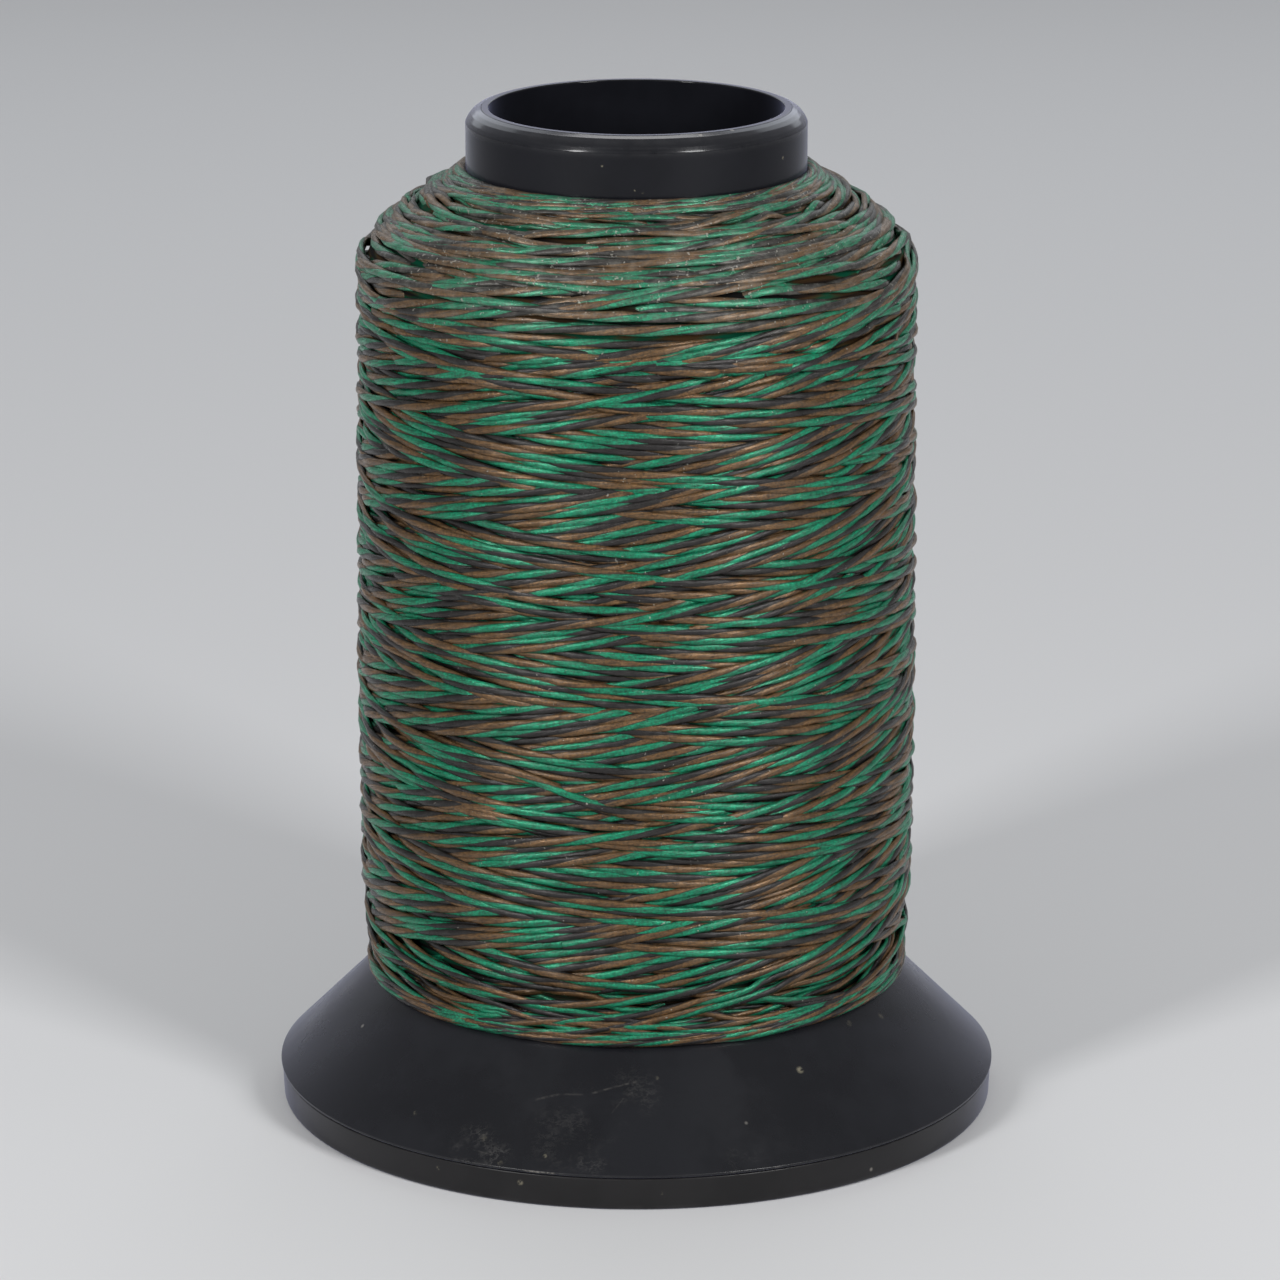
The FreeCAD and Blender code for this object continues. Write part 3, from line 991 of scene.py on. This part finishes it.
def laid_heights(outline, theta, s):
    """How high the line's middle lies off the outline, each turn resting on those laid before it."""
    line = line_sizes()
    field = np.zeros((int(outline.length / CELL) + 3 * SPARE_ROWS, PER_TURN), np.float32)
    column = np.round(theta * PER_TURN).astype(int) % PER_TURN
    row = np.clip((s / CELL).astype(int) + SPARE_ROWS, 6, len(field) - 7)
    flat, press, even = line.flatness, line.press, line.evenness
    half, reach = line.strand / 2 * (1 - 0.6 * flat), line.strand / 2 * (1 + flat)
    wide, narrow = np.arange(-5, 6), np.arange(-3, 4)
    crown = half * np.sqrt(np.maximum(1 - (wide * CELL / reach) ** 2, 0))
    ease = np.hanning(9) / np.hanning(9).sum()
    lift = np.zeros(len(theta), np.float32)

    def under_line(i, j):
        """The cells that the line covers at some rows and columns."""
        return i[:, None] + wide, np.repeat(j[:, None], len(wide), axis=1)

    def cover(where, high):
        np.maximum.at(field, where, (high[:, None] - press + crown).astype(np.float32))

    for a in range(0, len(theta), PER_TURN // 4):
        b = min(a + PER_TURN // 4, len(theta))
        i, j = row[a:b], column[a:b]
        under = np.sort(field[i[:, None] + narrow, j[:, None]], axis=1)[:, -3]
        over = under.copy()
        # Pulled tight, the line bridges a dip between two crossings.
        for k in range(1, 6):
            over[k:] = np.maximum(over[k:], under[:-k] - SAG * k * k)
            over[:-k] = np.maximum(over[:-k], under[k:] - SAG * k * k)
        over = np.convolve(np.pad(over, 4, mode="edge"), ease, mode="valid")
        if a:
            m = min(6, b - a)
            t = np.linspace(0, 1, m + 2)[1:-1]
            over[:m] = over[:m] * t + (lift[a - 1] - half) * (1 - t)
        high = over + half
        lift[a:b] = high
        cover(under_line(i, j), high)
    # The package is even: where more turns cross, they sink, and where few do, they are borne up.
    tall, round_it = field.shape
    down = np.fft.fftfreq(2 * tall, CELL)[:, None]
    across = np.fft.rfftfreq(round_it, TURN * outline.r / round_it)[None, :]
    cells = under_line(row, column)
    for spread in (2.2 * MM, 1.5 * MM, MM):
        padded = np.concatenate([field, field[::-1]])
        soft = np.exp(-2 * (math.pi * spread) ** 2 * (down ** 2 + across ** 2))
        level = np.fft.irfft2(np.fft.rfft2(padded) * soft, s=padded.shape)[:tall]
        proud = lift - level[row, column]
        sunk = PROUD + PROUD * (1 - np.exp((PROUD - proud) / (0.6 * MM)))
        proud = np.where(proud > PROUD, sunk, proud)
        lift = (1 - even) * lift + even * (line.depth - 0.45 * MM + proud)
        field = np.full_like(field, -6 * MM)
        cover(cells, lift)
    # No dip is deep: a turn that shows at the bottom of one is borne up towards its neighbours.
    least = np.interp(s, outline.shoulder, LEAST_LIFT)
    for _ in range(3):
        shows = lift + half - press > field[row, column] - 0.25 * MM
        short = np.where(shows, np.clip(least - lift, 0, 3 * MM), 0)
        borne = np.zeros_like(lift)
        for k in range(-18, 19):
            borne = np.maximum(borne, np.roll(short, k) * math.exp(-(k / 9.0) ** 2))
        lift = lift + borne
        cover(cells, lift)
    # The line's end is tucked under its neighbours.
    return lift - 1.5 * MM * held(1 - (len(lift) - np.arange(len(lift))) / (0.12 * PER_TURN))


def twist_of(theta, along, feet, tops, rng):
    """The strand's twist, in turns. Neighbouring turns are a little over a third of a twist apart."""
    pitch = line_sizes().pitch
    twist = along / pitch
    ends = sorted(feet + tops)
    phase, shift = [0.0, 0.0], 0.0
    for k, (start, end) in enumerate(zip(ends, ends[1:])):
        rising = k % 2 == 0
        seam = math.ceil(start) if rising else math.floor(end)
        phase[k % 2] += 0.38 + rng.normal(0, 0.1)
        target = phase[k % 2] - np.interp(seam, theta, along) / pitch
        step = (target - shift + 0.5) % 1.0 - 0.5
        shift += step
        twist = twist + eased((theta - start) / 0.5 + 0.5, step)
    return twist + 0.2 * np.sin(TURN * theta / 3.7) + 0.1 * np.sin(TURN * theta / 0.83)


def laid_line():
    """Points down the middle of the laid line, with its length, its twist and the way off the package."""
    outline = PackageOutline()
    rng = np.random.default_rng(line_sizes().seed)
    theta, s, feet, tops = strokes(outline, rng)
    lift = laid_heights(outline, theta, s)
    theta, s, lift = theta[::3], s[::3], lift[::3]
    r, z = outline.at(s, lift)
    angle = TURN * theta
    points = np.stack([r * np.cos(angle), r * np.sin(angle), z], axis=1)
    r_out, z_out = outline.at(s, lift + MM)
    outward = np.stack([(r_out - r) * np.cos(angle), (r_out - r) * np.sin(angle), z_out - z], axis=1)
    outward /= np.linalg.norm(outward, axis=1)[:, None]
    along = np.concatenate([[0], np.cumsum(np.linalg.norm(np.diff(points, axis=0), axis=1))])
    return points, along, twist_of(theta, along, feet, tops, rng), outward


def strand_mesh(name, points, along, twist, outward):
    """The strand's mesh along a run of points."""
    mesh = bpy.data.meshes.new(name + "_path")
    mesh.from_pydata(points.tolist(), [(i, i + 1) for i in range(len(points) - 1)], [])
    for key, kind, field, values in (
        ("along", "FLOAT", "value", along), ("twist", "FLOAT", "value", twist),
        ("outward", "FLOAT_VECTOR", "vector", outward),
    ):
        data = mesh.attributes.new(key, kind, "POINT").data
        data.foreach_set(field, values.astype(np.float32).ravel())
    line = line_sizes()
    return grown(name, mesh, "plied_strand", {
        "Diameter": line.strand, "Groove": 0.22, "Dark Share": finishes().dark_share,
        "Flatness": line.flatness, "Corners Per Ply": 4, "Material": material("line"),
    })


def read(items, field, kind=np.float32, width=1):
    """One field of every item of a mesh's data, as an array."""
    values = np.empty(len(items) * width, kind)
    items.foreach_get(field, values)
    return values


def unrolled(mesh, rows):
    """Gives the strand a UV map in which its length runs in even rows, one above another."""
    along = read(mesh.attributes["along"].data, "value")
    around = read(mesh.attributes["around"].data, "vector", width=3).reshape(-1, 3)
    share = (np.arctan2(around[:, 1], around[:, 0]) / TURN) % 1.0
    vertex = read(mesh.loops, "vertex_index", np.int32)
    first = read(mesh.polygons, "loop_start", np.int32)
    face = np.repeat(np.arange(len(first)), read(mesh.polygons, "loop_total", np.int32))
    a, v = along[vertex] - along.min(), share[vertex]
    low = np.minimum.reduceat(a, first)[face]
    wide = np.maximum.reduceat(v, first) - np.minimum.reduceat(v, first)
    v = np.where((wide[face] > 0.5) & (v < 0.5), v + 1, v)
    row_length = (along.max() - along.min()) * 1.0001 / rows
    row = np.floor(low / row_length)
    margin, used = 0.06, 0.88
    u = (a - row * row_length) / (row_length + 3 * MM)
    places = np.stack([u, (row + margin + used * v) / rows], axis=1)
    mesh.uv_layers.new(name="OFBake").uv.foreach_set("vector", places.astype(np.float32).ravel())


def build_core():
    outline = PackageOutline()
    play = 0.05 * MM
    collar, barrel, top = sizes().collar + play, sizes().barrel + play, sizes().collar_foot - play
    s = np.linspace(0, outline.length, 90)
    r, z = outline.at(s, np.interp(s, outline.shoulder, CORE_LIFT))
    corners = [(a, flange_top(a) + 0.07 * MM, 0) for a in (barrel, r[0])]
    corners += [(a, b, 0) for a, b in zip(r[1:], z[1:]) if a > collar + 0.1 * MM]
    corners += [(collar, corners[-1][1] + 0.3 * MM, 0), (collar, top, 0), (barrel, top, 0)]
    return lathed("wound_core", corners)


# Operators


class SpoolPiece:
    bl_options = {"REGISTER", "UNDO"}


class SPOOL_OT_barrel(SpoolPiece, bpy.types.Operator):
    """Build the barrel, a straight tube with a spigot and a bead"""

    bl_idname = "spool.barrel"
    bl_label = "Barrel"

    def execute(self, context):
        placed("barrel_tube", build_barrel(), "black", "spool", "black_plastic", "barrel")
        return {"FINISHED"}


class SPOOL_OT_collar(SpoolPiece, bpy.types.Operator):
    """Build the collar with its domed lip"""

    bl_idname = "spool.collar"
    bl_label = "Collar"

    def execute(self, context):
        placed("collar_ring", build_collar(), "black", "spool", "black_plastic", "top_collar")
        return {"FINISHED"}


class SPOOL_OT_flange(SpoolPiece, bpy.types.Operator):
    """Build the conical flange with the gussets under it"""

    bl_idname = "spool.flange"
    bl_label = "Conical flange"

    def execute(self, context):
        placed("cone_skirt", build_flange(), "cone", "spool", "black_plastic", "cone_flange")
        return {"FINISHED"}


class SPOOL_OT_base(SpoolPiece, bpy.types.Operator):
    """Build the clip-on base with its spring fingers"""

    bl_idname = "spool.base"
    bl_label = "Clip-on base"

    def execute(self, context):
        placed("clip_base", build_base(), "base", "base", "base_plastic", "snap_base")
        return {"FINISHED"}


class SPOOL_OT_core(SpoolPiece, bpy.types.Operator):
    """Build the wound line under the outer lay"""

    bl_idname = "spool.core"
    bl_label = "Wound core"

    def execute(self, context):
        placed("wound_core", build_core(), "deep_line", "spool", "line", "line_core")
        return {"FINISHED"}


class SPOOL_OT_lay(SpoolPiece, bpy.types.Operator):
    """Lay the twisted line over the core, stroke by stroke"""

    bl_idname = "spool.lay"
    bl_label = "Outer lay of line"

    lengths = 8
    map_rows = 62

    def execute(self, context):
        points, along, twist, outward = laid_line()
        cuts = np.linspace(0, len(points) - 1, self.lengths + 1).astype(int)
        for k in range(self.lengths):
            name, run = f"line_lay_{k + 1}", slice(cuts[k], cuts[k + 1] + 1)
            mesh = strand_mesh(name, points[run], along[run] - along[cuts[k]], twist[run], outward[run])
            unrolled(mesh, self.map_rows)
            placed(name, mesh, "line", "spool", "line", *(("line_layer",) if k == 0 else ()))
        return {"FINISHED"}


WHITE, COOL = (1.0, 1.0, 1.0), (0.88, 0.94, 1.0)
# Name, azimuth, elevation, width and height, power and colour of each lamp.
# Azimuth 0 is the camera's side, and 90 its right.
LAMPS = (
    ("left_front", -42.0, 26.0, (0.12, 0.4), 3.35, WHITE),
    ("right_front", 40.0, 26.0, (0.17, 0.4), 3.8, WHITE),
    ("left_back", -154.0, 30.0, (0.42, 0.5), 0.41, COOL),
    ("right_back", 156.0, 30.0, (0.42, 0.5), 0.46, COOL),
    ("top_back", 180.0, 58.0, (0.44, 0.14), 0.5, WHITE),
)
LAMP_DISTANCE = 0.8
LAMP_TARGET = (0, 0, 0.05)
FLOOR_REACH = 4.0
SKY, SKY_STRENGTH = (0.97, 0.98, 1.0, 1.0), 0.28
CAMERA_PLACE = (0, -0.59548, 0.21834)
CAMERA_DOWN = 15.811
LENS, LENS_SHIFT = 164.33, 3.5 / 1280


def area_light(name, azimuth, elevation, size, power, tint):
    """A soft lamp that looks at the middle of the spool."""
    data = bpy.data.lights.new(name, "AREA")
    data.shape = "RECTANGLE"
    data.size, data.size_y = size
    data.energy = power
    data.color = tint
    a, e = math.radians(azimuth), math.radians(elevation)
    away = Vector((math.sin(a) * math.cos(e), -math.cos(a) * math.cos(e), math.sin(e)))
    lamp = new_object(name, data)
    lamp.location = Vector(LAMP_TARGET) + away * LAMP_DISTANCE
    lamp.rotation_euler = (-away).to_track_quat("-Z", "Y").to_euler()


class SPOOL_OT_stage(SpoolPiece, bpy.types.Operator):
    """Set up the floor, the lamps and the camera"""

    bl_idname = "spool.stage"
    bl_label = "Stage"

    def execute(self, context):
        scene = context.scene
        far = FLOOR_REACH
        corners = [(-far, -far, 0), (far, -far, 0), (far, far, 0), (-far, far, 0)]
        floor = new_object("floor", mesh_from("floor", corners, [(0, 1, 2, 3)]))
        made, shader, place = new_material("stage_floor")
        tint = finishes().floor
        fill(shader, {"Base Color": mixed(noise(place, 3.0), tint, shaded(tint, 1.02)), "Roughness": 0.85})
        floor.data.materials.append(made)
        scene.world = bpy.data.worlds.new("studio")
        scene.world.use_nodes = True
        fill(scene.world.node_tree.nodes["Background"], {"Color": SKY, "Strength": SKY_STRENGTH})
        for lamp in LAMPS:
            area_light(*lamp)
        camera = bpy.data.cameras.new("camera")
        camera.sensor_width = 36.0
        camera.lens = LENS
        camera.shift_x = LENS_SHIFT
        camera.clip_start, camera.clip_end = 0.05, 20.0
        scene.camera = new_object("camera", camera)
        scene.camera.location = CAMERA_PLACE
        scene.camera.rotation_euler = (math.radians(90 - CAMERA_DOWN), 0, 0)
        scene.view_settings.view_transform = "Standard"
        return {"FINISHED"}


STEPS = (
    SPOOL_OT_barrel, SPOOL_OT_collar, SPOOL_OT_flange, SPOOL_OT_base, SPOOL_OT_core, SPOOL_OT_lay,
    SPOOL_OT_stage,
)


class SPOOL_PT_panel(bpy.types.Panel):
    bl_idname = "SPOOL_PT_panel"
    bl_label = "Line Spool"
    bl_space_type = "VIEW_3D"
    bl_region_type = "UI"
    bl_category = "Line Spool"

    def draw(self, context):
        for settings in (sizes(), line_sizes(), finishes()):
            box = self.layout.box()
            for key in settings.__annotations__:
                box.prop(settings, key)
        for step in STEPS:
            self.layout.operator(step.bl_idname)


CLASSES = (MouldingSizes, LineSizes, Finishes, *STEPS, SPOOL_PT_panel)


def register():
    for item in CLASSES:
        bpy.utils.register_class(item)
    bpy.types.Scene.moulding_sizes = PointerProperty(type=MouldingSizes)
    bpy.types.Scene.line_sizes = PointerProperty(type=LineSizes)
    bpy.types.Scene.spool_finishes = PointerProperty(type=Finishes)


def unregister():
    del bpy.types.Scene.spool_finishes
    del bpy.types.Scene.line_sizes
    del bpy.types.Scene.moulding_sizes
    for item in reversed(CLASSES):
        bpy.utils.unregister_class(item)


def main():
    """Builds the whole scene."""
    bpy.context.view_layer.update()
    register()
    for step in STEPS:
        group_name, name = step.bl_idname.split(".")
        getattr(getattr(bpy.ops, group_name), name)()
    bpy.context.view_layer.update()


if __name__ == "__main__":
    main()
